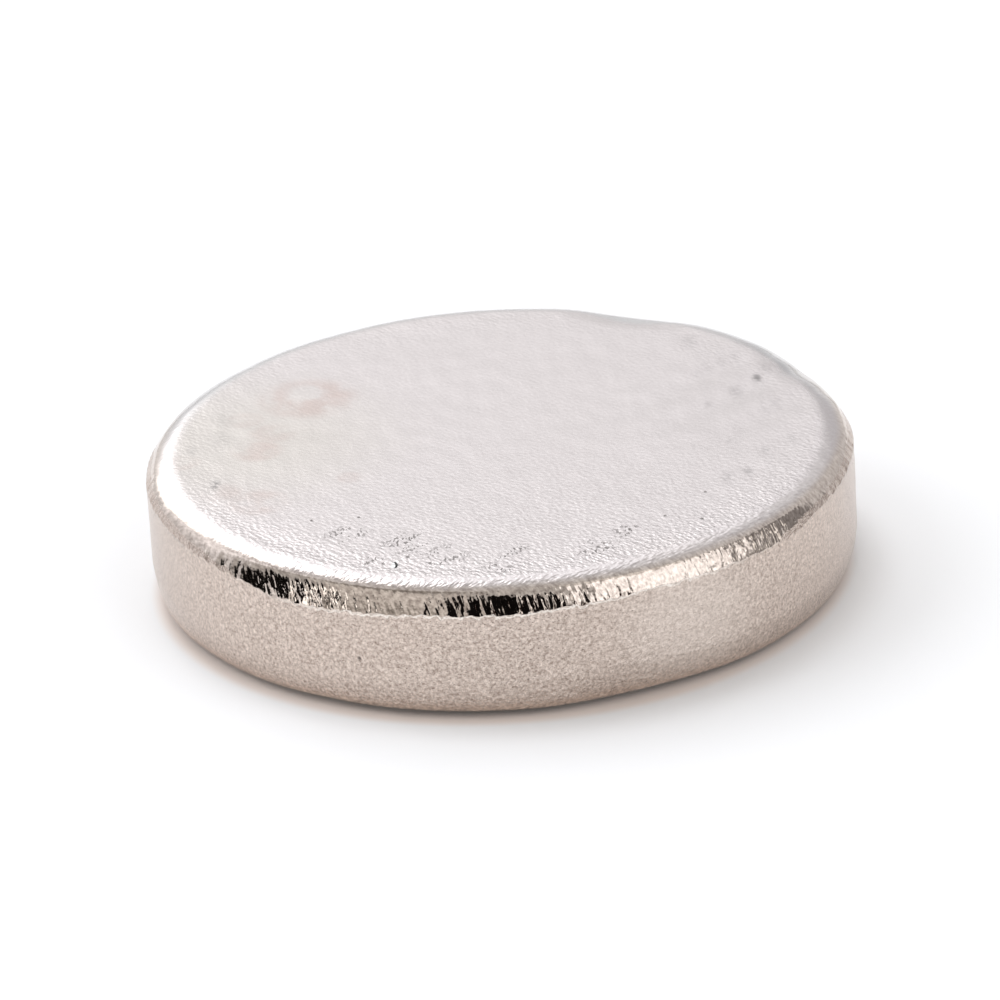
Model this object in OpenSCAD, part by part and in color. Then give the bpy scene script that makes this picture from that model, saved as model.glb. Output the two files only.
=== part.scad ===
// Disc magnet: one sintered, ground, tumbled and nickel plated slug.
// The origin is the centre of the lower pole face, and +Z runs up the axis of the disc.

/* [Disc] */
// Diameter across the ground wall, in mm
disc_d = 10; // [4:0.5:30]
// Thickness between the two pole faces, in mm
disc_t = 2; // [1.5:0.1:6]

/* [Tumbled edge] */
// Radius of the slow roll that leaves a pole face, in mm
roll_r = 0.7; // [0.5:0.05:1.2]
// Angle that the slow roll turns through before the corner takes over, in degrees
roll_turn = 30; // [10:5:45]
// Radius of the tighter corner that runs into the wall, in mm
corner_r = 0.3; // [0.15:0.05:0.4]

/* [Hidden] */
$fn = 240;

disc_r = disc_d / 2;
mid_z = disc_t / 2;

// The two arcs of an edge share a tangent where the surface normal stands at join_a above the horizontal.
join_a = 90 - roll_turn;
join_dir = [cos(join_a), sin(join_a)];

// Height of the edge: how far below the pole face the wall begins.
edge_h = roll_r - (roll_r - corner_r) * sin(join_a);

// Arc centres in the half section, as [radius, height].
corner_c = [disc_r - corner_r, disc_t - edge_h];
roll_c = corner_c - (roll_r - corner_r) * join_dir;

// Quarter of the roll's circle, on the pole face's side of the line along which the two arcs meet.
module roll_slice() {
    translate(roll_c) intersection() {
        circle(roll_r);
        rotate(join_a) square(2 * roll_r);
    }
}

// Upper half of the section: flat face, slow roll, tighter corner, straight wall.
module upper_section() {
    translate([0, mid_z]) square([disc_r, mid_z - edge_h]);
    translate([0, mid_z]) square([roll_c.x, mid_z]);
    roll_slice();
    translate(corner_c) circle(corner_r);
}

// Whole half section. The lower edge is the mirror image of the upper one.
module section() {
    upper_section();
    translate([0, disc_t]) mirror([0, 1]) upper_section();
}

module disc_magnet() {
    color("silver") rotate_extrude() section();
}

disc_magnet();
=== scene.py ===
import math

import bmesh
import bpy
import numpy as np
from mathutils import Matrix, Vector


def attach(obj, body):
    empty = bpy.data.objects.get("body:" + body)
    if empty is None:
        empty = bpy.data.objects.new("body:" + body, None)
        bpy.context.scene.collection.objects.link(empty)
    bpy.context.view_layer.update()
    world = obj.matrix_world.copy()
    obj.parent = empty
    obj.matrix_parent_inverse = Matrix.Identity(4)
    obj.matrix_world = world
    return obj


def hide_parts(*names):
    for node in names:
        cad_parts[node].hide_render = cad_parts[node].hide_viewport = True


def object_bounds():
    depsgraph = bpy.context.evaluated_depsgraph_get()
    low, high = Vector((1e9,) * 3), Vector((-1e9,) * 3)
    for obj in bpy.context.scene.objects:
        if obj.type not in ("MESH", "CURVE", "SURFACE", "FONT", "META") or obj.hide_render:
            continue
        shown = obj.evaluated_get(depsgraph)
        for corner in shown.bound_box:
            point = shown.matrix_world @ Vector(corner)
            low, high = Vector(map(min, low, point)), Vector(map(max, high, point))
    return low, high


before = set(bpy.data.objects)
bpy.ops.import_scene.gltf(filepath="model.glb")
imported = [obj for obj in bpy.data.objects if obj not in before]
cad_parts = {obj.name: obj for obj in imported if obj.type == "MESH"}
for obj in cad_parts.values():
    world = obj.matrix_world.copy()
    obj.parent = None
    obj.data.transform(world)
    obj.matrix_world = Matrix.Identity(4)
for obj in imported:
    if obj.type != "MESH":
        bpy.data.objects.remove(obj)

# Disc magnet: one sintered slug of neodymium iron boron with a nickel skin, lying on white paper.
# Lengths are written in millimetres and turned to metres by MM. The front of the disc is at -Y, and a
# turn is counted in degrees round the axis from the front towards +X.

CAD_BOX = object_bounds()
MM = 0.001
DISC_R = min(CAD_BOX[1].x, CAD_BOX[1].y) / MM
DISC_T = CAD_BOX[1].z / MM
MID = DISC_T / 2

# The section of the edge, as in the part's source: a slow roll leaves the pole face and a tighter
# corner runs into the wall.
ROLL_R = 0.7
CORNER_R = 0.3
ROLL_TURN = math.radians(30)
EDGE_H = ROLL_R - (ROLL_R - CORNER_R) * math.cos(ROLL_TURN)
FACE_R = DISC_R - CORNER_R - (ROLL_R - CORNER_R) * math.sin(ROLL_TURN)

# Tumbling leaves the upper corner nearly flat where it meets the wall, so the two meet in an arris, which
# wanders up and down as it goes round and is a little ragged. The lower corner is rounder and runs far up
# the wall. Where a corner meets the wall it leans in by this share of its slope from end to end.
UPPER_LEAN = 0.82
LOWER_LEAN = 0.30

# How long and how high the raggedness is.
ARRIS_GRAIN = 0.15
ARRIS_RAGGED = 0.012

# How finely the surface is gridded. One extra row crowds close to the arris on the corner, and one at either
# end of the wall, this share of the way. They keep the arris crisp under smooth shading.
FACE_CELLS = 172
ROLL_ROWS = 8
CORNER_ROWS = 12
WALL_ROWS = 14
CORNER_CROWD = 0.985
WALL_CROWD = 0.008

# How close two points lie that are welded into one.
WELD = 0.001

# What keeps the worn surface inside the true disc, the least that the waves leave of it, and the least that
# everything together leaves of it.
SKIN_ALLOWANCE = 0.008
LEAST_UNDER_WAVES = 0.004
LEAST_ANYWHERE = 0.002


def linear(hex_colour):
    """An sRGB hex colour as linear red, green, blue and a full alpha."""
    parts = [int(hex_colour[i : i + 2], 16) / 255 for i in (0, 2, 4)]
    return [c / 12.92 if c <= 0.04045 else ((c + 0.055) / 1.055) ** 2.4 for c in parts] + [1.0]


def add(tree, kind, inputs=None, **settings):
    """Adds one node with its settings, and gives each named or numbered input a value, or a link from a
    socket or from the first live output of a node. Returns the node."""
    made = tree.nodes.new(kind)
    for key, value in settings.items():
        setattr(made, key, value)
    for key, value in (inputs or {}).items():
        if isinstance(value, bpy.types.Node):
            value = next(out for out in value.outputs if out.enabled)
        if isinstance(value, bpy.types.NodeSocket):
            tree.links.new(value, made.inputs[key])
        else:
            made.inputs[key].default_value = value
    return made


# ---------------------------------------------------------------- the worn surface

# Waves of the tumbled surface: length, height on the faces, what the rim adds to it, and seed.
WAVES = [(1.7, 0.0012, 0.0016, 11), (0.45, 0.0003, 0.0005, 12)]

# How many plane waves make a ripple, and the seed of the arris's ripple.
WAVE_COUNT = 28
ARRIS_SEED = 13

# How far inside the face's edge the rim's stronger waves begin, and over what distance they come in.
RIM_WAVES_IN = 0.6
RIM_WAVES_OVER = 0.8


def ripple(points, wavelength, seed):
    """A smooth random field of about unit size: the sum of plane waves of one length that run in
    seeded random directions with random phases, evaluated at every point."""
    rng = np.random.default_rng(seed)
    way = rng.normal(size=(WAVE_COUNT, 3))
    way /= np.linalg.norm(way, axis=1, keepdims=True)
    phase = rng.uniform(0, 2 * math.pi, WAVE_COUNT)
    return np.cos(points @ way.T * (2 * math.pi / wavelength) + phase).sum(1) / math.sqrt(WAVE_COUNT / 2)


def bump_at(distance, reach):
    """One at the middle and nothing at reach: the square of one minus the squared distance."""
    return np.clip(1 - (distance / reach) ** 2, 0, None) ** 2


# Knocks, a nodule and a sag of the rim: turn, radius and height of the middle, reach along the rim and
# across it, and how deep it goes. The nodule has a negative depth.
RIM_MARKS = {
    "far_knock": (154, 4.80, 1.90, 1.30, 0.75, 0.057),
    "side_knock": (113, 4.85, 1.88, 1.25, 0.60, 0.042),
    "foot_knock": (23, 4.88, 0.12, 1.60, 0.70, 0.040),
    "wall_nodule": (86, 5.00, 1.30, 0.30, 0.25, -0.030),
    "front_sag": (-34, 4.42, 2.00, 4.6, 0.38, 0.010),
}

# Grinding chatter, a patch of shallow parallel waves on the faces: where, how far it reaches, which way its
# crests run from +X, their spacing and their depth.
CHATTER_AT = (3.55, 1.10)
CHATTER_REACH = 2.3
CHATTER_TURN = math.radians(45)
CHATTER_STEP = 0.82
CHATTER_DEEP = 0.0075

# How far below the top the upper arris lies at some turns, and how far above the bottom the lower one.
UPPER_ARRIS = {
    -180: 0.36, -120: 0.34, -75: 0.26, -56: 0.31, -46: 0.375, -40: 0.45, -32: 0.46, -22: 0.43, -12: 0.40,
    0: 0.405, 12: 0.355, 24: 0.31, 34: 0.33, 44: 0.35, 52: 0.36, 62: 0.27, 80: 0.25, 110: 0.34, 180: 0.36,
}
LOWER_ARRIS = {-180: 0.45, -110: 0.62, -50: 0.60, -20: 0.54, 20: 0.60, 60: 0.52, 120: 0.50, 180: 0.45}

# At the sides the wall's finish climbs past the arris, up to this far below the top. Elsewhere the value is
# larger than the arris's own, and the arris ends the finish.
WALL_FINISH = {
    -180: 0.70, -115: 0.50, -95: 0.16, -80: 0.155, -70: 0.172, -60: 0.22, -50: 0.29, -44: 0.70,
    44: 0.70, 50: 0.29, 60: 0.195, 70: 0.168, 80: 0.145, 95: 0.15, 115: 0.50, 180: 0.70,
}


def round_the_rim(marks, turn):
    """A smooth curve through the values given at some turns: a cosine step between each two neighbours."""
    at = np.array(sorted(marks))
    value = np.array([marks[t] for t in at])
    left = np.clip(np.searchsorted(at, turn, side="right") - 1, 0, len(at) - 2)
    part = (turn - at[left]) / (at[left + 1] - at[left])
    step = (1 - np.cos(math.pi * part)) / 2
    return value[left] + (value[left + 1] - value[left]) * step


def sink_of(points):
    """How far each point lies under the true disc: the allowance less the long and short waves, which are
    stronger on the rim, plus a patch of grinding chatter, a raised cosine across its lines, plus each mark
    of the rim as a bump that is as long and as wide as the mark."""
    around = np.degrees(np.arctan2(points[:, 0], -points[:, 1]))
    radius = np.hypot(points[:, 0], points[:, 1])
    on_rim = np.clip((radius - FACE_R + RIM_WAVES_IN) / RIM_WAVES_OVER, 0, 1)
    sink = np.full(len(points), SKIN_ALLOWANCE)
    for wavelength, on_face, added_on_rim, seed in WAVES:
        sink -= (on_face + added_on_rim * on_rim) * ripple(points, wavelength, seed)
    sink = np.maximum(sink, LEAST_UNDER_WAVES)
    from_patch = points[:, :2] - CHATTER_AT
    across_lines = from_patch @ (math.sin(CHATTER_TURN), -math.cos(CHATTER_TURN))
    chatter = bump_at(np.linalg.norm(from_patch, axis=1), CHATTER_REACH)
    sink += CHATTER_DEEP * chatter * (1 + np.cos(across_lines * 2 * math.pi / CHATTER_STEP))
    for turn, mark_r, height, along, across, depth in RIM_MARKS.values():
        off = np.radians((around - turn + 180) % 360 - 180) * DISC_R
        far = np.hypot(off / along, np.hypot(radius - mark_r, points[:, 2] - height) / across)
        sink += depth * bump_at(far, 1)
    return np.maximum(sink, LEAST_ANYWHERE)


def edge_section(drop, lean_share):
    """The edge from the pole face to the wall, for every drop of the corner's end in the array: the roll is
    an arc, and the corner a quadratic curve from the roll's end to the wall, tangent to the roll and leaning
    in at the wall. Returns radius, distance from the face's plane, and tilt of the outward normal."""
    roll = np.linspace(math.pi / 2, math.pi / 2 - ROLL_TURN, ROLL_ROWS + 1)[:, None] + 0 * drop
    roll_r = FACE_R + ROLL_R * np.cos(roll)
    roll_d = ROLL_R * (1 - np.sin(roll))
    join_r, join_d, join_tilt = roll_r[-1], roll_d[-1], math.pi / 2 - ROLL_TURN
    # The middle point of the corner's curve, where the two end tangents cross.
    wide, tall = DISC_R - join_r, drop - join_d
    lean = lean_share * np.arctan2(wide, tall)
    s1, c1, s2, c2 = math.sin(join_tilt), math.cos(join_tilt), np.sin(lean), np.cos(lean)
    reach = (wide * c2 - tall * s2) / (s1 * c2 - c1 * s2)
    mid_r, mid_d = join_r + reach * s1, join_d + reach * c1
    k = np.linspace(0, 1, CORNER_ROWS + 1)[1:]
    k = np.insert(k, -1, CORNER_CROWD)[:, None]
    corner_r = (1 - k) ** 2 * join_r + 2 * k * (1 - k) * mid_r + k**2 * DISC_R
    corner_d = (1 - k) ** 2 * join_d + 2 * k * (1 - k) * mid_d + k**2 * drop
    run_r = (1 - k) * (mid_r - join_r) + k * (DISC_R - mid_r)
    run_d = (1 - k) * (mid_d - join_d) + k * (drop - mid_d)
    tilt = np.concatenate([roll, np.arctan2(run_r, run_d)])
    return np.concatenate([roll_r, corner_r]), np.concatenate([roll_d, corner_d]), tilt


def rim_surface():
    """The rim as a grid of distance along the section against angle round the axis: upper edge, straight
    wall, and the lower edge mirrored. Returns points, outward normals and the level the wall's finish ends
    at, row by row."""
    around = np.arange(4 * FACE_CELLS) * (2 * math.pi / (4 * FACE_CELLS)) + math.pi / 4
    turn = (np.degrees(around) + 90 + 180) % 360 - 180
    circle = DISC_R * np.stack([np.cos(around), np.sin(around), 0 * around], -1)
    upper_drop = round_the_rim(UPPER_ARRIS, turn) + ARRIS_RAGGED * ripple(circle, ARRIS_GRAIN, ARRIS_SEED)
    lower_drop = round_the_rim(LOWER_ARRIS, turn)
    upper_r, upper_d, upper_tilt = edge_section(upper_drop, UPPER_LEAN)
    lower_r, lower_d, lower_tilt = edge_section(lower_drop, LOWER_LEAN)
    share = np.linspace(0, 1, WALL_ROWS + 1)[1:-1]
    share = np.concatenate([[WALL_CROWD], share, [1 - WALL_CROWD]])[:, None]
    top, bottom = DISC_T - upper_drop, lower_drop
    wall_z = top + (bottom - top) * share
    finish = MID - np.minimum(upper_drop, round_the_rim(WALL_FINISH, turn))
    level = np.where(share < 0.5, finish, MID - bottom)
    r = np.concatenate([upper_r, 0 * wall_z + DISC_R, lower_r[::-1]])
    z = np.concatenate([DISC_T - upper_d, wall_z, lower_d[::-1]])
    t = np.concatenate([upper_tilt, 0 * wall_z, -lower_tilt[::-1]])
    arris = np.concatenate([0 * upper_r + finish, level, 0 * lower_r + MID - bottom])
    points = np.stack([r * np.cos(around), r * np.sin(around), z], -1)
    normals = np.stack([np.cos(t) * np.cos(around), np.cos(t) * np.sin(around), np.sin(t)], -1)
    return points, normals, arris


def face_surface(height, up):
    """A pole face as a square grid pressed into a circle: each square ring becomes a round ring, with its
    four sides laid along equal quarters of the circle. Returns points, normals and a plain arris level."""
    side = np.linspace(-1, 1, FACE_CELLS + 1)
    a, b = np.meshgrid(side, side)
    wide = np.abs(a) >= np.abs(b)
    ring = np.where(wide, a, b)
    safe = np.where(ring == 0, 1, ring)
    turn = np.where(wide, math.pi / 4 * b / safe, math.pi / 2 - math.pi / 4 * a / safe)
    points = np.stack([ring * np.cos(turn), ring * np.sin(turn), np.zeros_like(ring)], -1) * FACE_R
    points[..., 2] = height
    normals = np.zeros_like(points)
    normals[..., 2] = up
    return points, normals, np.full_like(ring, MID - EDGE_H)


def grid_quads(rows, columns, first, closed, flip):
    """Corner numbers of every cell of a grid, counted from first; a closed grid joins its last column to its
    first, and flip turns the cells over."""
    i, j = np.meshgrid(np.arange(rows - 1), np.arange(columns if closed else columns - 1), indexing="ij")
    k = (j + 1) % columns
    quads = np.stack([i * columns + j, (i + 1) * columns + j, (i + 1) * columns + k, i * columns + k], -1)
    quads = quads.reshape(-1, 4) + first
    return quads[:, ::-1] if flip else quads


def disc_mesh():
    """The whole disc: rim, upper face and lower face as three grids, sunk along their normals by the wear,
    with the arris level kept as an attribute, then welded where the grids meet."""
    grids = [rim_surface(), face_surface(DISC_T, 1.0), face_surface(0.0, -1.0)]
    quads, first = [], 0
    for (where, _, _), closed, flip in zip(grids, (True, False, False), (False, True, False)):
        rows, columns = where.shape[:2]
        quads.append(grid_quads(rows, columns, first, closed, flip))
        first += rows * columns
    points, normals = (np.concatenate([g[n].reshape(-1, 3) for g in grids]) for n in (0, 1))
    arris = np.concatenate([g[2].ravel() for g in grids])
    points = points - normals * sink_of(points)[:, None]
    mesh = bpy.data.meshes.new("disc_magnet_plating")
    mesh.from_pydata(points * MM, [], np.concatenate(quads).tolist())
    mesh.attributes.new("arris", "FLOAT", "POINT").data.foreach_set("value", arris)
    shell = bmesh.new()
    shell.from_mesh(mesh)
    bmesh.ops.remove_doubles(shell, verts=shell.verts, dist=WELD * MM)
    shell.to_mesh(mesh)
    shell.free()
    mesh.shade_smooth()
    return mesh


# ---------------------------------------------------------------- nickel

# Inputs go by number. A map range turns what runs from input 1 to 2 into 3 to 4, and either pair is 0 to 1
# where it isn't set. A mix of numbers runs from 2 to 3, and one of colours from 6 to 7.
SMOOTH = {"interpolation_type": "SMOOTHSTEP"}

# Radius less height above the middle, halfway down the edge.
EDGE_MIDDLE = 4.0

# The lay: which way the grinding lines of the pole faces run, from +X.
LAY = math.radians(-48)

# How far the lines across the rim turn for each mm down the edge, in radians, by X: they slant at the left.
LINE_SLIP = {1: -2.6, 2: 3.6, 3: -0.38 / DISC_R, 4: 0.0}

# Where the finishes end, in mm. Level is the distance above or below the middle of the disc.
UPPER_HALF = {1: MID - 0.1, 2: MID + 0.1}
WALL_TOP_PAST_ARRIS = {1: -0.016, 2: -0.004, 3: 1.0, 4: 0.0}
WALL_FOOT_HEIGHT = {1: 0.10, 2: 0.28}
FACE_END_RADIUS = {1: 4.45, 2: 4.72, 3: 1.0, 4: 0.0}
FACE_END_LEVEL = {1: MID - 0.05, 2: MID - 0.02}
ROLL_PALE_LEVEL = {1: MID - 0.10, 2: MID - 0.04}

# How jagged the upper and the lower end of the wall's finish are.
TOP_JAGS = 0.13
FOOT_JAGS = 0.20

# How strongly the grain shows. It grows fainter towards the back, by Y, stronger near the rim of a face, by
# radius, and the edge's lines grow stronger down the corner, by level, and are faint at the far left, by X.
EDGE_TO_BACK = {1: -4.6, 2: -0.6, 3: 1.0, 4: 0.12}
FLAT_TO_BACK = {1: -4.8, 2: 0.5, 3: 1.0, 4: 0.25}
FACE_TO_RIM = {1: 3.6, 2: 4.5, 3: 0.7, 4: 1.5}
LINES_DOWN_CORNER = {1: MID - 0.01, 2: MID - 0.12, 3: 0.3, 4: 1.0}
LINES_AT_LEFT = {1: -3.6, 2: -2.9, 3: 0.40, 4: 1.0}

# How much of the lines the lower edge has, and how much grain an edge has where it has no lines.
LINES_UNDERNEATH = 0.35
GRAIN_BESIDE_LINES = 1.15

# The patterns: size in mm of one cell along three axes, octaves, share of each finer octave, and place in
# the noise. The axes are the lay, across it and up for the grain and the flecks of the edge and the faces
# and for the rows of pits. For the streaks two go round the rim and one down the edge. For the others they
# are X, Y and Z. The grain of such a plating is about 0.05 mm wide, and it is drawn at that size.
PATTERNS = {
    "edge_streak": ((0.060, 0.060, 0.220), 0.5, 0.50, 1.0),
    "edge_grain": ((0.060, 0.150, 0.060), 1.0, 0.50, 2.0),
    "face_grain": ((0.080, 0.058, 0.080), 1.0, 0.50, 3.0),
    "jags": ((0.090, 0.090, 0.090), 2.0, 0.50, 5.0),
    "orange_peel": ((0.250, 0.450, 0.300), 0.0, 0.50, 7.0),
    "wall_grain": ((0.045, 0.045, 0.045), 2.0, 0.60, 9.0),
    "pitting": ((0.038, 0.080, 0.080), 0.0, 0.50, 11.0),
    "stain_patches": ((0.350, 0.500, 0.500), 2.0, 0.50, 13.0),
    "edge_flecks": ((0.110, 0.045, 0.050), 2.0, 0.50, 15.0),
    "face_flecks": ((0.062, 0.050, 0.062), 2.0, 0.50, 17.0),
    "smudge_crumbs": ((0.090, 0.090, 0.090), 2.0, 0.50, 19.0),
    "wall_flecks": ((0.045, 0.045, 0.045), 3.0, 0.75, 21.0),
    "pit_rows": ((0.160, 0.600, 0.600), 0.0, 0.50, 23.0),
}

# How steep each pattern of the relief is on average, as rise over run.
STEEPNESS = {
    "edge_streak": 0.072,
    "edge_grain": 0.15,
    "face_grain": 0.12,
    "orange_peel": 0.012,
    "wall_grain": 0.22,
}

# How steep a noise field of unit height and unit cells is on average.
FIELD_STEEP = 0.45

# Roughness of each finish: satin faces, the roll that leaves them, the polished corner, the pressed wall.
GLOSS = {"face": 0.30, "roll": 0.17, "corner": 0.07, "wall": 0.25}

# Pits in the plating, each a round hollow: place and radius in mm.
PITS = [
    ((-1.66, -3.94, DISC_T), 0.040),
    ((-1.32, -3.78, DISC_T), 0.045),
    ((-1.02, -4.02, DISC_T), 0.040),
    ((-2.63, -2.41, DISC_T), 0.035),
    ((-1.98, -2.40, DISC_T), 0.035),
    ((1.27, -3.83, DISC_T), 0.050),
    ((1.55, -3.40, DISC_T), 0.035),
    ((1.72, -3.35, DISC_T), 0.035),
    ((2.81, -2.25, DISC_T), 0.035),
    ((2.72, -3.12, DISC_T), 0.040),
    ((2.22, -2.96, DISC_T), 0.035),
    ((-2.07, -4.55, 0.87), 0.045),
    ((-3.05, -3.96, 0.30), 0.050),
    ((-0.14, -5.00, 0.23), 0.060),
    ((2.42, -4.37, 0.31), 0.055),
]
PIT_DEEP = 0.010

# The fine pitting: how deep, how much the rows it lies in count, and where in the noise a pit begins.
PITTING_DEEP = 0.006
PITTING_IN_ROWS = 0.7
PITTING_FROM = {1: 0.17, 2: 0.25}

# Soft grey smudges on the upper face: place, radius and strength. Their width is this share of their length.
SMUDGE_NARROW = 0.45
SMUDGES = [
    ((-3.98, -1.02), 0.11, 0.85),
    ((-4.35, 0.20), 0.14, 0.28),
    ((-3.95, 0.50), 0.24, 0.18),
    ((-3.85, 1.30), 0.26, 0.16),
    ((3.74, 1.56), 0.115, 0.95),
    ((3.40, 1.14), 0.19, 0.32),
    ((3.00, 0.74), 0.10, 0.25),
    ((2.83, 3.00), 0.20, 0.24),
    ((2.92, 1.88), 0.16, 0.15),
    ((3.08, 2.03), 0.20, 0.20),
    ((3.26, 2.18), 0.18, 0.18),
    ((3.48, 2.39), 0.16, 0.20),
    ((3.89, 1.91), 0.22, 0.22),
    ((3.80, 0.48), 0.22, 0.18),
    ((3.95, 0.60), 0.20, 0.20),
    ((4.11, -0.65), 0.16, 0.20),
    ((3.23, -0.55), 0.09, 0.25),
    ((3.72, -0.97), 0.11, 0.35),
    ((3.43, -1.63), 0.11, 0.42),
    ((3.15, -1.80), 0.15, 0.30),
    ((3.50, 1.10), 1.60, 0.05),
]

# A chip beside the front edge, painted pale as a highlight and dark along its right-hand side as a painted
# shadow: place, reach across and along, and how far the highlit inside lies to the left.
CHIP_AT = (-1.51, -4.01)
CHIP_REACH = (0.050, 0.115)
CHIP_SHIFT = 0.036

# Patches of fine pitting on the upper face: place and radius in mm.
PITTED = [
    ((-2.15, -2.98), 0.45),
    ((-1.80, -3.84), 0.22),
    ((-1.32, -3.32), 0.50),
    ((-0.82, -3.82), 0.48),
    ((-0.08, -4.28), 0.26),
    ((0.12, -3.86), 0.38),
    ((1.24, -3.86), 0.42),
    ((1.72, -3.38), 0.32),
]

# Faint red-brown stains on the upper face: place, radius and strength. The largest dried to a ring round
# its hollow.
STAINS = [
    ((-2.68, 1.78), 0.84, 0.62),
    ((-3.40, 0.05), 0.45, 0.50),
    ((-3.18, 0.62), 0.42, 0.35),
    ((-3.58, 1.15), 0.34, 0.30),
    ((-3.38, -1.70), 0.52, 0.40),
    ((-3.88, -1.30), 0.38, 0.32),
    ((-2.10, -1.05), 0.24, 0.32),
    ((-4.46, -0.20), 0.32, 0.35),
]
STAIN_HOLLOW = [((-2.76, 2.05), 0.40, 0.85)]

# Where the wall is painted paler, a painted reflection: place, radius and strength.
PALER_REFLECTION = [((2.45, -4.36, 0.95), 1.50, 0.35)]

# Where the upper face has yellowed: place, radius and strength.
YELLOWED = [((-3.70, 0.40), 3.00, 0.42)]

# How patchy the stains and the smudges are, by their own noise.
STAIN_GAPS = {1: -0.25, 2: 0.15}
SMUDGE_GAPS = {1: -0.25, 2: 0.05}

# Brown dirt and painted contact shade at the foot, by height. A painted glint just under the arris, by
# distance past it, and by Y, because it shows at the front alone. A painted paler grey reflection on the far
# side of the edge, by Y.
FOOT_DIRT_AND_SHADE = {1: 0.13, 2: 0.05, 3: 0.0, 4: 0.9}
ARRIS_GLINT = {1: -0.042, 2: -0.020, 3: 0.0, 4: 0.75}
ARRIS_GLINT_AT_FRONT = {1: -4.7, 2: -3.4, 3: 1.0, 4: 0.0}
FAR_EDGE_REFLECTION = {1: 0.0, 2: 2.5, 3: 0.0, 4: 0.8}
# How dark the pits and the pitting are painted, as painted shade in the hollows.
HOLES_DARK = 0.75

# The share of its radius that each kind of spot keeps full.
CORES = {
    "pitted": 0.3,
    "pits": 0.25,
    "yellowed": 0.2,
    "stain_hollow": 0.3,
    "stains": 0.5,
    "smudges": 0.0,
    "paler_reflection": 0.2,
    "chip_highlight": 0.75,
}

# Each finish glitters between a darker and a paler nickel, crystal by crystal: how far the noise goes either
# way, and the two colours.
FLECKS = {
    "wall": (0.2, "9B8A7F", "F1E2D7"),
    "edge": (0.2, "AEA198", "F3E6DB"),
    "face": (0.3, "C2B9B7", "E7E0DD"),
}

# What the marks turn the nickel to, from the first laid to the last.
TINTS = {
    # A painted paler reflection on the wall.
    "paler_reflection": "EADFD6",
    # A painted glint just under the arris.
    "arris_glint": "FFF8F0",
    # A painted grey reflection on the far side of the edge.
    "far_edge_reflection": "D0CFCE",
    "yellowed": "D0CABD",
    "stains": "C6B2AA",
    "smudges": "8B8684",
    # Brown dirt and painted contact shade at the foot.
    "dirt_and_shade": "54402F",
    # Painted shade in the pits and the pitting.
    "hole_shade": "5E5753",
    # A painted highlight inside the chip, and after it a painted shadow on its right-hand side.
    "chip_highlight": "F6F4F2",
    "chip_shade": "1E1C1A",
}


def noise_field(tree, where, pattern):
    """Smooth noise about nought, within half a unit either way, in cells of the pattern's size. Each finer
    octave has the pattern's share of the strength of the one before."""
    size, octaves, finer, shift = PATTERNS[pattern]
    cells = {"Vector": where, "Location": (shift,) * 3, "Scale": [1 / s for s in size]}
    cells = add(tree, "ShaderNodeMapping", cells)
    noise = {"Vector": cells, "Scale": 1.0, "Detail": octaves, "Roughness": finer}
    noise = add(tree, "ShaderNodeTexNoise", noise)
    return add(tree, "ShaderNodeMath", {0: noise, 1: 0.5}, operation="SUBTRACT")


def add_relief(tree, below, field, height, mask):
    """The relief below plus a field of this height in mm, where the mask lies."""
    raised = add(tree, "ShaderNodeMath", {0: field, 1: height}, operation="MULTIPLY")
    return add(tree, "ShaderNodeMath", {0: raised, 1: mask, 2: below}, operation="MULTIPLY_ADD")


def spots(tree, where, places, core):
    """One in the middle of each spot and nothing beyond its radius, times its strength; core is the share
    of the radius that stays full. The strongest spot counts."""
    most = 0.0
    for place, size, strength in places:
        away = add(tree, "ShaderNodeVectorMath", {0: where, 1: (*place, 0.0)[:3]}, operation="DISTANCE")
        spot = {0: away, 1: size, 2: size * core, 3: 0.0, 4: strength}
        spot = add(tree, "ShaderNodeMapRange", spot, **SMOOTH)
        most = add(tree, "ShaderNodeMath", {0: most, 1: spot}, operation="MAXIMUM")
    return most


def rim_place(tree, at):
    """A place on the rim's circle, with the way down the edge as its height, so that lines across the rim
    have no seam. It is turned back on the way down, which slants the lines."""
    fall = add(tree, "ShaderNodeMath", {0: at["radius"], 1: at["level"]}, operation="SUBTRACT")
    fall = add(tree, "ShaderNodeMath", {0: fall, 1: EDGE_MIDDLE}, operation="SUBTRACT")
    slip = add(tree, "ShaderNodeMapRange", {0: at["x"], **LINE_SLIP})
    twist = add(tree, "ShaderNodeMath", {0: fall, 1: slip}, operation="MULTIPLY")
    ring = add(tree, "ShaderNodeVectorMath", {0: at["flat"]}, operation="NORMALIZE")
    ring = add(tree, "ShaderNodeVectorMath", {0: ring, "Scale": DISC_R}, operation="SCALE")
    ring = add(tree, "ShaderNodeVectorRotate", {"Vector": ring, "Angle": twist}, rotation_type="Z_AXIS")
    fall = add(tree, "ShaderNodeCombineXYZ", {"Z": fall})
    return add(tree, "ShaderNodeVectorMath", {0: ring, 1: fall}, operation="ADD")


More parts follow.
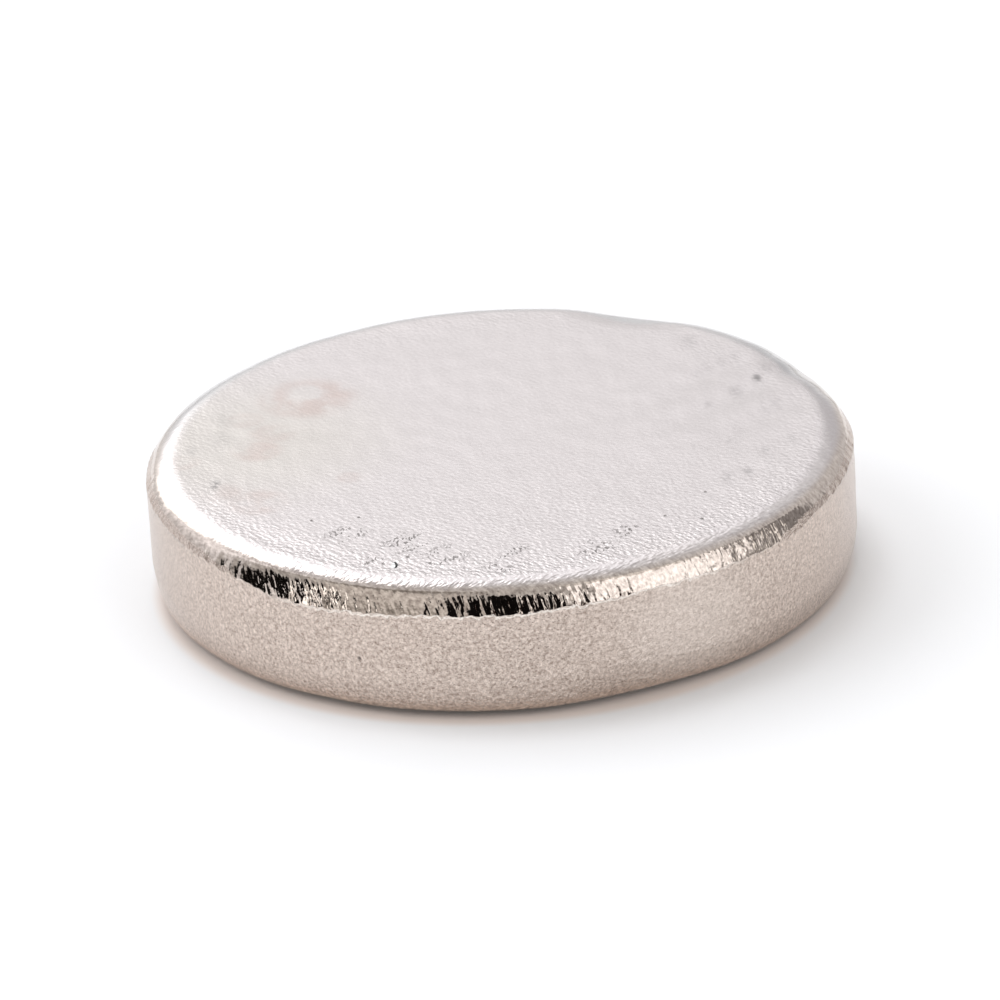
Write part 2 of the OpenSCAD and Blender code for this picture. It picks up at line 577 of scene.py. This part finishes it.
def places(tree):
    """Where a point of the disc lies, in mm: its spot, the same turned to the lay, the same without height,
    its radius, its axes, its level above or below the middle, the upper half, and its place on the rim."""
    metres = add(tree, "ShaderNodeTexCoord").outputs["Object"]
    spot = add(tree, "ShaderNodeVectorMath", {0: metres, "Scale": 1 / MM}, operation="SCALE")
    lay = {"Vector": spot, "Angle": -LAY}
    at = {"spot": spot, "lay": add(tree, "ShaderNodeVectorRotate", lay, rotation_type="Z_AXIS")}
    at["flat"] = add(tree, "ShaderNodeVectorMath", {0: spot, 1: (1, 1, 0)}, operation="MULTIPLY")
    at["radius"] = add(tree, "ShaderNodeVectorMath", {0: at["flat"]}, operation="LENGTH")
    at["x"], at["y"], at["z"] = add(tree, "ShaderNodeSeparateXYZ", {0: spot}).outputs
    level = add(tree, "ShaderNodeMath", {0: at["z"], 1: MID}, operation="SUBTRACT")
    at["level"] = add(tree, "ShaderNodeMath", {0: level}, operation="ABSOLUTE")
    at["upper"] = add(tree, "ShaderNodeMapRange", {0: at["z"], **UPPER_HALF}, **SMOOTH)
    at["ring"] = rim_place(tree, at)
    return at


def finishes(tree, at):
    """How much of each finish a point has: the wall below its jagged arris, the face inside the roll, and
    the edge between them with its corner. The edge and the flat finishes are smoother towards the back."""
    on = {}
    on["near_edge"] = add(tree, "ShaderNodeMapRange", {0: at["y"], **EDGE_TO_BACK}, **SMOOTH)
    on["near_flat"] = add(tree, "ShaderNodeMapRange", {0: at["y"], **FLAT_TO_BACK}, **SMOOTH)

    arris = add(tree, "ShaderNodeAttribute", attribute_name="arris").outputs["Fac"]
    past = add(tree, "ShaderNodeMath", {0: at["level"], 1: arris}, operation="SUBTRACT")
    jags = noise_field(tree, at["spot"], "jags")
    top_jags = add(tree, "ShaderNodeMath", {0: jags, 1: on["near_edge"]}, operation="MULTIPLY")
    past = add(tree, "ShaderNodeMath", {0: top_jags, 1: TOP_JAGS, 2: past}, operation="MULTIPLY_ADD")
    on["past_arris"] = past
    wall_top = add(tree, "ShaderNodeMapRange", {0: past, **WALL_TOP_PAST_ARRIS}, **SMOOTH)
    foot = add(tree, "ShaderNodeMath", {0: jags, 1: FOOT_JAGS, 2: at["z"]}, operation="MULTIPLY_ADD")
    wall_foot = add(tree, "ShaderNodeMapRange", {0: foot, **WALL_FOOT_HEIGHT}, **SMOOTH)
    on["wall"] = add(tree, "ShaderNodeMix", {0: at["upper"], 2: wall_foot, 3: wall_top})

    inside = add(tree, "ShaderNodeMapRange", {0: at["radius"], **FACE_END_RADIUS}, **SMOOTH)
    flat_top = add(tree, "ShaderNodeMapRange", {0: at["level"], **FACE_END_LEVEL}, **SMOOTH)
    on["face"] = add(tree, "ShaderNodeMath", {0: inside, 1: flat_top}, operation="MULTIPLY")
    on["upper_face"] = add(tree, "ShaderNodeMath", {0: on["face"], 1: at["upper"]}, operation="MULTIPLY")

    rest = add(tree, "ShaderNodeMath", {0: 1.0, 1: on["wall"]}, operation="SUBTRACT")
    rest = add(tree, "ShaderNodeMath", {0: rest, 1: on["face"]}, operation="SUBTRACT", use_clamp=True)
    on["edge"] = rest
    steep = add(tree, "ShaderNodeMapRange", {0: at["level"], **LINES_DOWN_CORNER}, **SMOOTH)
    steep = add(tree, "ShaderNodeMath", {0: steep, 1: on["edge"]}, operation="MULTIPLY")
    seen = add(tree, "ShaderNodeMapRange", {0: at["upper"], 3: LINES_UNDERNEATH, 4: 1.0})
    on["corner"] = add(tree, "ShaderNodeMath", {0: steep, 1: seen}, operation="MULTIPLY")
    return on


def grain_masks(tree, at, on):
    """How strongly each grain shows: the lines across the edge, the grain of its roll, the satin of the
    faces and the pressed wall."""
    at_left = add(tree, "ShaderNodeMapRange", {0: at["x"], **LINES_AT_LEFT}, **SMOOTH)
    lines = add(tree, "ShaderNodeMath", {0: on["corner"], 1: on["near_edge"]}, operation="MULTIPLY")
    lines = add(tree, "ShaderNodeMath", {0: lines, 1: at_left}, operation="MULTIPLY")
    roll = add(tree, "ShaderNodeMath", {0: GRAIN_BESIDE_LINES, 1: on["corner"]}, operation="SUBTRACT")
    roll = add(tree, "ShaderNodeMath", {0: roll, 1: on["edge"]}, operation="MULTIPLY")
    roll = add(tree, "ShaderNodeMath", {0: roll, 1: on["near_edge"]}, operation="MULTIPLY")
    by_rim = add(tree, "ShaderNodeMapRange", {0: at["radius"], **FACE_TO_RIM}, **SMOOTH)
    satin = add(tree, "ShaderNodeMath", {0: on["near_flat"], 1: by_rim}, operation="MULTIPLY")
    satin = add(tree, "ShaderNodeMath", {0: satin, 1: on["face"]}, operation="MULTIPLY")
    pressed = add(tree, "ShaderNodeMath", {0: on["near_flat"], 1: on["wall"]}, operation="MULTIPLY")
    return lines, roll, satin, pressed


def hole_masks(tree, at, on):
    """The fine pitting, which lies in rows in its patches of the upper face, and the single pits."""
    pitted = [(place, size, 1.0) for place, size in PITTED]
    patches = spots(tree, at["flat"], pitted, CORES["pitted"])
    patches = add(tree, "ShaderNodeMath", {0: patches, 1: on["upper_face"]}, operation="MULTIPLY")
    rows = noise_field(tree, at["lay"], "pit_rows")
    pitting = noise_field(tree, at["spot"], "pitting")
    pitting = {0: rows, 1: PITTING_IN_ROWS, 2: pitting}
    pitting = add(tree, "ShaderNodeMath", pitting, operation="MULTIPLY_ADD")
    pitting = add(tree, "ShaderNodeMapRange", {0: pitting, **PITTING_FROM}, **SMOOTH)
    pitting = add(tree, "ShaderNodeMath", {0: pitting, 1: patches}, operation="MULTIPLY")
    pits = [(place, size, 1.0) for place, size in PITS]
    return pitting, spots(tree, at["spot"], pits, CORES["pits"])


def plate_relief(tree, at, on, pitting, pits):
    """The relief of the plate in mm: a noise for each grain, less the pitting and the pits."""
    lines, roll, satin, pressed = grain_masks(tree, at, on)
    relief = 0.0
    for pattern, where, mask in (
        ("edge_streak", at["ring"], lines),
        ("edge_grain", at["lay"], roll),
        ("face_grain", at["lay"], satin),
        ("orange_peel", at["spot"], on["face"]),
        ("wall_grain", at["spot"], pressed),
    ):
        height = STEEPNESS[pattern] * min(PATTERNS[pattern][0]) / FIELD_STEEP
        relief = add_relief(tree, relief, noise_field(tree, where, pattern), height, mask)
    relief = add_relief(tree, relief, pitting, -PITTING_DEEP, 1.0)
    return add_relief(tree, relief, pits, -PIT_DEEP, 1.0)


def chip_masks(tree, at):
    """The chip, an oval on the upper side painted as a highlight, and its right-hand part painted as a
    shadow, which is what the same oval moved to the left leaves of it."""
    across, along = CHIP_REACH
    oval = {0: at["flat"], 1: (1 / across, 1 / along, 0)}
    oval = add(tree, "ShaderNodeVectorMath", oval, operation="MULTIPLY")
    chip_at = (CHIP_AT[0] / across, CHIP_AT[1] / along)
    bright_at = (chip_at[0] - CHIP_SHIFT / across, chip_at[1])
    chip_highlight = spots(tree, oval, [(chip_at, 1.0, 1.0)], CORES["chip_highlight"])
    chip_highlight = add(tree, "ShaderNodeMath", {0: chip_highlight, 1: at["upper"]}, operation="MULTIPLY")
    bright = spots(tree, oval, [(bright_at, 1.0, 1.0)], CORES["chip_highlight"])
    shade = add(tree, "ShaderNodeMath", {0: 1.0, 1: bright}, operation="SUBTRACT")
    return chip_highlight, add(tree, "ShaderNodeMath", {0: chip_highlight, 1: shade}, operation="MULTIPLY")


def mark_masks(tree, at, on, pitting, pits):
    """Where each mark lies: the wall's painted paler reflection, the painted glint under the arris, the
    painted grey reflection on the far edge, stains, smudges, brown dirt and painted shade at the foot,
    painted shade in the holes, and the chip with its painted highlight and painted shadow."""
    # A painted glint just under the arris, at the front alone.
    arris_glint = add(tree, "ShaderNodeMapRange", {0: on["past_arris"], **ARRIS_GLINT}, **SMOOTH)
    arris_glint = add(tree, "ShaderNodeMath", {0: arris_glint, 1: on["wall"]}, operation="MULTIPLY")
    at_front = add(tree, "ShaderNodeMapRange", {0: at["y"], **ARRIS_GLINT_AT_FRONT}, **SMOOTH)
    arris_glint = add(tree, "ShaderNodeMath", {0: arris_glint, 1: at_front}, operation="MULTIPLY")
    arris_glint = add(tree, "ShaderNodeMath", {0: arris_glint, 1: at["upper"]}, operation="MULTIPLY")
    # The far side of the edge is painted a paler grey, a painted reflection.
    far_edge_reflection = add(tree, "ShaderNodeMapRange", {0: at["y"], **FAR_EDGE_REFLECTION}, **SMOOTH)
    far_edge_reflection = add(tree, "ShaderNodeMath", {0: far_edge_reflection, 1: on["edge"]}, operation="MULTIPLY")
    yellowed = spots(tree, at["flat"], YELLOWED, CORES["yellowed"])
    yellowed = add(tree, "ShaderNodeMath", {0: yellowed, 1: on["upper_face"]}, operation="MULTIPLY")

    patchy = noise_field(tree, at["spot"], "stain_patches")
    patchy = add(tree, "ShaderNodeMapRange", {0: patchy, **STAIN_GAPS}, **SMOOTH)
    hollow = spots(tree, at["flat"], STAIN_HOLLOW, CORES["stain_hollow"])
    patchy = add(tree, "ShaderNodeMath", {0: patchy, 1: hollow}, operation="SUBTRACT", use_clamp=True)
    stains = spots(tree, at["flat"], STAINS, CORES["stains"])
    stains = add(tree, "ShaderNodeMath", {0: stains, 1: patchy}, operation="MULTIPLY")
    stains = add(tree, "ShaderNodeMath", {0: stains, 1: on["upper_face"]}, operation="MULTIPLY")

    crumbs = noise_field(tree, at["spot"], "smudge_crumbs")
    crumbs = add(tree, "ShaderNodeMapRange", {0: crumbs, **SMUDGE_GAPS}, **SMOOTH)
    shrunk = {0: at["flat"], 1: (1, SMUDGE_NARROW, 0)}
    shrunk = add(tree, "ShaderNodeVectorMath", shrunk, operation="MULTIPLY")
    smudges = [((x, y * SMUDGE_NARROW), size, strength) for (x, y), size, strength in SMUDGES]
    smudges = spots(tree, shrunk, smudges, CORES["smudges"])
    smudges = add(tree, "ShaderNodeMath", {0: smudges, 1: crumbs}, operation="MULTIPLY")
    smudges = add(tree, "ShaderNodeMath", {0: smudges, 1: on["upper_face"]}, operation="MULTIPLY")

    # The pits and the pitting are painted darker, as painted shade in the hollows.
    hole_shade = add(tree, "ShaderNodeMath", {0: pitting, 1: pits}, operation="MAXIMUM")
    chip_highlight, chip_shade = chip_masks(tree, at)
    return {
        # A painted paler reflection on the wall.
        "paler_reflection": spots(tree, at["spot"], PALER_REFLECTION, CORES["paler_reflection"]),
        "arris_glint": arris_glint,
        "far_edge_reflection": far_edge_reflection,
        "yellowed": yellowed,
        "stains": stains,
        "smudges": smudges,
        # Brown dirt and painted contact shade at the foot.
        "dirt_and_shade": add(tree, "ShaderNodeMapRange", {0: at["z"], **FOOT_DIRT_AND_SHADE}, **SMOOTH),
        "hole_shade": add(tree, "ShaderNodeMath", {0: hole_shade, 1: HOLES_DARK}, operation="MULTIPLY"),
        "chip_highlight": chip_highlight,
        "chip_shade": chip_shade,
    }


def plate_colour(tree, at, on, masks):
    """The nickel's colour: each finish with its flecks, the roll as pale as the face, then the marks, some
    of them painted light and shade.
    """
    tones = {}
    for finish, (reach, dark, pale) in FLECKS.items():
        where = at["spot"] if finish == "wall" else at["lay"]
        flecks = noise_field(tree, where, finish + "_flecks")
        flecks = add(tree, "ShaderNodeMath", {0: flecks, 1: on["near_flat"]}, operation="MULTIPLY")
        flecks = add(tree, "ShaderNodeMapRange", {0: flecks, 1: -reach, 2: reach})
        tone = {0: flecks, 6: linear(dark), 7: linear(pale)}
        tones[finish] = add(tree, "ShaderNodeMix", tone, data_type="RGBA")
    colour = {0: on["wall"], 6: tones["edge"], 7: tones["wall"]}
    colour = add(tree, "ShaderNodeMix", colour, data_type="RGBA")
    roll = add(tree, "ShaderNodeMapRange", {0: at["level"], **ROLL_PALE_LEVEL}, **SMOOTH)
    colour = add(tree, "ShaderNodeMix", {0: roll, 6: colour, 7: tones["face"]}, data_type="RGBA")
    for mark, tint in TINTS.items():
        colour = add(tree, "ShaderNodeMix", {0: masks[mark], 6: colour, 7: linear(tint)}, data_type="RGBA")
    return colour


def nickel_plate():
    """Bright nickel electroplate over a ground and tumbled slug. The faces keep a satin of fine grinding
    lines, the tumbled edge is nearly a mirror with lines across it, and the pressed wall a sparkly satin."""
    material = bpy.data.materials.new("bright_nickel_electroplate")
    material.use_nodes = True
    tree = material.node_tree
    tree.nodes.clear()
    at = places(tree)
    on = finishes(tree, at)
    pitting, pits = hole_masks(tree, at, on)
    relief = plate_relief(tree, at, on, pitting, pits)
    tilted = add(tree, "ShaderNodeBump", {"Height": relief, "Distance": MM, "Strength": 1.0})
    colour = plate_colour(tree, at, on, mark_masks(tree, at, on, pitting, pits))
    gloss = add(tree, "ShaderNodeMapRange", {0: on["corner"], 3: GLOSS["roll"], 4: GLOSS["corner"]})
    gloss = add(tree, "ShaderNodeMix", {0: on["wall"], 2: gloss, 3: GLOSS["wall"]})
    gloss = add(tree, "ShaderNodeMix", {0: on["face"], 2: gloss, 3: GLOSS["face"]})
    plate = {"Base Color": colour, "Metallic": 1.0, "Roughness": gloss, "Normal": tilted}
    plate = add(tree, "ShaderNodeBsdfPrincipled", plate)
    add(tree, "ShaderNodeOutputMaterial", {"Surface": plate})
    return material


# ---------------------------------------------------------------- table, light and camera

# The sheet in mm: where its rim begins to turn up and how far it rises, its flat rings, and how many steps
# the bend and the circle have.
PAPER_R = 600
PAPER_RISE = 50
PAPER_RINGS = [0, 8, 20, 60, 200]
PAPER_BEND_STEPS = 24
PAPER_SIDES = 96

PAPER_COLOUR = "F5F5F5"
# The colour of the painted brown contact shadow on the paper.
CONTACT_SHADE_COLOUR = "F0E4DC"
PAPER_LIFT = 0.05
PAPER_LIFT_COLOUR = "FFFDFC"

# A painted brown contact shadow on the paper round the front of the foot: its middle, and how far from it
# the shade ends and how far it is full.
CONTACT_SHADE_AT = (-0.04, -0.12, 0.0)
CONTACT_SHADE_FADE = {1: 5.04, 2: 4.82}


def paper_sweep():
    """White paper: a flat round sheet whose rim turns up on a quarter of a circle."""
    bend = np.linspace(0, math.pi / 2, PAPER_BEND_STEPS + 1)
    radius = np.concatenate([PAPER_RINGS, PAPER_R + PAPER_RISE * np.sin(bend)])
    height = np.concatenate([np.zeros(len(PAPER_RINGS)), PAPER_RISE * (1 - np.cos(bend))])
    around = np.linspace(0, 2 * math.pi, PAPER_SIDES + 1)[:-1]
    turn, r = np.meshgrid(around, radius)
    z = np.repeat(height[:, None], len(around), 1)
    points = np.stack([r * np.cos(turn), r * np.sin(turn), z], -1).reshape(-1, 3)
    mesh = bpy.data.meshes.new("white_paper")
    mesh.from_pydata(points * MM, [], grid_quads(len(radius), len(around), 0, True, True).tolist())
    mesh.shade_smooth()
    return mesh


def paper_white():
    """Matt white paper, pressed smooth, so it is even and has no gloss, with a painted brown contact shadow
    round the front of the foot. What is added for camera, glossy and transmission rays brings the open sheet
    to white."""
    material = bpy.data.materials.new("matt_white_paper")
    material.use_nodes = True
    tree = material.node_tree
    tree.nodes.clear()
    metres = add(tree, "ShaderNodeTexCoord").outputs["Object"]
    spot = add(tree, "ShaderNodeVectorMath", {0: metres, "Scale": 1 / MM}, operation="SCALE")
    # A painted brown contact shadow round the front of the foot.
    away = add(tree, "ShaderNodeVectorMath", {0: spot, 1: CONTACT_SHADE_AT}, operation="DISTANCE")
    contact_shade = add(tree, "ShaderNodeMapRange", {0: away, **CONTACT_SHADE_FADE}, **SMOOTH)
    colour = {0: contact_shade, 6: linear(PAPER_COLOUR), 7: linear(CONTACT_SHADE_COLOUR)}
    colour = add(tree, "ShaderNodeMix", colour, data_type="RGBA")
    sheet = add(tree, "ShaderNodeBsdfDiffuse", {"Color": colour})
    path = add(tree, "ShaderNodeLightPath").outputs
    seen = add(tree, "ShaderNodeMath", {0: path["Is Camera Ray"], 1: path["Is Glossy Ray"]}, operation="ADD")
    seen = add(tree, "ShaderNodeMath", {0: seen, 1: path["Is Transmission Ray"]}, operation="ADD")
    lift = add(tree, "ShaderNodeMath", {0: seen, 1: PAPER_LIFT}, operation="MULTIPLY")
    glow = add(tree, "ShaderNodeEmission", {"Color": linear(PAPER_LIFT_COLOUR), "Strength": lift})
    both = add(tree, "ShaderNodeAddShader", {0: sheet, 1: glow})
    add(tree, "ShaderNodeOutputMaterial", {"Surface": both})
    return material


# The studio round the disc, as soft-edged panels. Rise is in degrees above the horizon. Later panels cover
# earlier ones.
#         turn, rise, half width, half height, soft edge, colour, strength
STUDIO = {
    "ceiling": (0, 90, 200, 16, 6, "CDCCCC", 1.0),
    "back_wall": (180, 20, 48, 50, 12, "F4F5F7", 1.0),
    "upper_back": (-178, 42, 14, 16, 5, "F9FBFF", 1.4),
    "right_back": (126, 14, 26, 56, 10, "D6D6D8", 1.0),
    "right_shade": (162, 18, 12, 9, 4, "D6D6D9", 1.0),
    "left_back": (-118, 20, 24, 60, 10, "DBDBDE", 1.0),
    "left_window": (-119, 32, 19, 17, 8, "EBECF1", 1.45),
    "key_softbox": (-155.5, 38, 15.5, 24, 6, "FAFCFF", 2.3),
    "right_upper": (62, 60, 32, 14, 7, "F4F2F0", 1.0),
    "right_fill": (54.5, 33, 29.5, 17, 3.0, "FDFDFF", 1.5),
    "left_front": (-38, 16, 24, 20, 5, "DEDBD8", 1.0),
    "left_upper": (-44, 54, 28, 17, 6, "A09D99", 1.0),
    "left_skirting": (-34, 8, 18, 5, 2, "A9A6A1", 1.0),
    "left_gap": (-76, -4, 22, 18.5, 2, "0E0C0B", 1.0),
    "left_strip": (-61.5, 0, 3.0, 15, 1, "FFFEFC", 1.7),
    "right_gap": (99, 12, 15.5, 28, 4, "918F90", 1.0),
    "right_rail": (76, 20, 0.8, 16, 0.8, "7C7A79", 1.0),
    "right_strip": (92, 22, 1.4, 14, 1, "FFFEFC", 1.5),
    "camera_side": (-3, 8, 14.2, 21.5, 2, "110F0F", 1.0),
    "lens_side": (17, 5, 9, 19, 2.5, "2A130D", 1.0),
    "lens_strip": (12, 23, 1.5, 8, 1.0, "FFFEFC", 1.5),
}

# The room between the panels: colour and strength.
ROOM = ("C3C2C1", 1.0)


def studio_world():
    """The studio as the world: each panel is a window in turn and rise, both with soft edges."""
    world = bpy.data.worlds.new("soft_studio")
    bpy.context.scene.world = world
    world.use_nodes = True
    tree = world.node_tree
    tree.nodes.clear()
    way = add(tree, "ShaderNodeTexCoord").outputs["Generated"]
    axes = add(tree, "ShaderNodeSeparateXYZ", {0: way}).outputs
    to_front = add(tree, "ShaderNodeMath", {0: 0.0, 1: axes["Y"]}, operation="SUBTRACT")
    around = add(tree, "ShaderNodeMath", {0: axes["X"], 1: to_front}, operation="ARCTAN2")
    height = add(tree, "ShaderNodeMath", {0: axes["Z"]}, operation="ARCSINE")
    light = add(tree, "ShaderNodeRGB").outputs[0]
    light.default_value = [c * ROOM[1] for c in linear(ROOM[0])]
    for name, (turn, rise, half_w, half_h, soft, colour, strength) in STUDIO.items():
        side = add(tree, "ShaderNodeMath", {0: around, 1: math.radians(turn)}, operation="SUBTRACT")
        side = add(tree, "ShaderNodeMath", {0: side, 1: math.pi, 2: -math.pi}, operation="WRAP")
        up = add(tree, "ShaderNodeMath", {0: height, 1: math.radians(rise)}, operation="SUBTRACT")
        inside = []
        for off, half in ((side, half_w), (up, half_h)):
            size = add(tree, "ShaderNodeMath", {0: off}, operation="ABSOLUTE")
            window = {0: size, 1: math.radians(half - soft), 2: math.radians(half + soft), 3: 1.0, 4: 0.0}
            inside.append(add(tree, "ShaderNodeMapRange", window, **SMOOTH))
        mask = add(tree, "ShaderNodeMath", {0: inside[0], 1: inside[1]}, operation="MULTIPLY")
        panel = [c * strength for c in linear(colour)]
        mixed = add(tree, "ShaderNodeMix", {"Factor": mask, 6: light, 7: panel}, data_type="RGBA", name=name)
        light = mixed.outputs[2]
    glow = add(tree, "ShaderNodeBackground", {"Color": light, "Strength": 1.0})
    add(tree, "ShaderNodeOutputWorld", {"Surface": glow})


# Round softboxes that light the paper and cast the soft shadows. The metal mirrors the panels alone.
#         turn, rise, half angle seen from the disc, how bright white paper facing it would be
LAMPS = {
    "overhead_softbox": (-150, 75, 12, 0.18),
    "left_softbox": (-100, 30, 28, 0.385),
}

# How far off the lamps stand, their colour, and the share of their light that the paper gives back.
LAMP_FAR = 500
LAMP_COLOUR = "F7FAFF"
PAPER_SHARE = 0.92


def lamp(name, turn, rise, half_angle, brightness):
    """A round area lamp that faces the disc, with its power worked out from how bright the paper should
    be."""
    far = LAMP_FAR * MM
    data = bpy.data.lights.new(name, "AREA")
    data.shape = "DISK"
    data.size = 2 * far * math.tan(math.radians(half_angle))
    data.color = linear(LAMP_COLOUR)[:3]
    data.energy = brightness * (math.pi * far) ** 2 / PAPER_SHARE
    turn, rise = math.radians(turn), math.radians(rise)
    way = Vector((math.sin(turn) * math.cos(rise), -math.cos(turn) * math.cos(rise), math.sin(rise)))
    made = bpy.data.objects.new(name, data)
    made.matrix_world = Matrix.Translation(way * far) @ way.to_track_quat("Z", "Y").to_matrix().to_4x4()
    made.visible_glossy = False
    bpy.context.scene.collection.objects.link(made)


# The camera: how far off in mm, how high, how it is rolled, the point in mm it aims at, and its lens.
CAMERA_FAR = 100
CAMERA_RISE = math.radians(24.5)
CAMERA_ROLL = math.radians(-3.5)
CAMERA_AIM = (-0.030, 0.065, MID)
CAMERA_SEES = (1, 10000)
LENS = 254.5


def camera():
    """A long lens from the front and above, rolled a little about its own axis."""
    away = Vector((0, -math.cos(CAMERA_RISE), math.sin(CAMERA_RISE)))
    right = Vector((1, 0, 0))
    up = Vector((0, math.sin(CAMERA_RISE), math.cos(CAMERA_RISE)))
    c, s = math.cos(CAMERA_ROLL), math.sin(CAMERA_ROLL)
    axes = Matrix([right * c + up * s, up * c - right * s, away]).transposed()
    data = bpy.data.cameras.new("camera")
    data.lens = LENS
    data.clip_start = CAMERA_SEES[0] * MM
    data.clip_end = CAMERA_SEES[1] * MM
    made = bpy.data.objects.new("camera", data)
    made.matrix_world = Matrix.Translation((Vector(CAMERA_AIM) + away * CAMERA_FAR) * MM) @ axes.to_4x4()
    bpy.context.scene.collection.objects.link(made)
    bpy.context.scene.camera = made


def show(name, mesh, material):
    """Puts a mesh into the scene as an object at the origin."""
    made = bpy.data.objects.new(name, mesh)
    made.data.materials.append(material)
    bpy.context.scene.collection.objects.link(made)
    return made


magnet = show("magnet", disc_mesh(), nickel_plate())
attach(magnet, "root")
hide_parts("disc_magnet")

show("white_paper", paper_sweep(), paper_white())
studio_world()
for name, values in LAMPS.items():
    lamp(name, *values)
camera()
bpy.context.scene.view_settings.view_transform = "Standard"
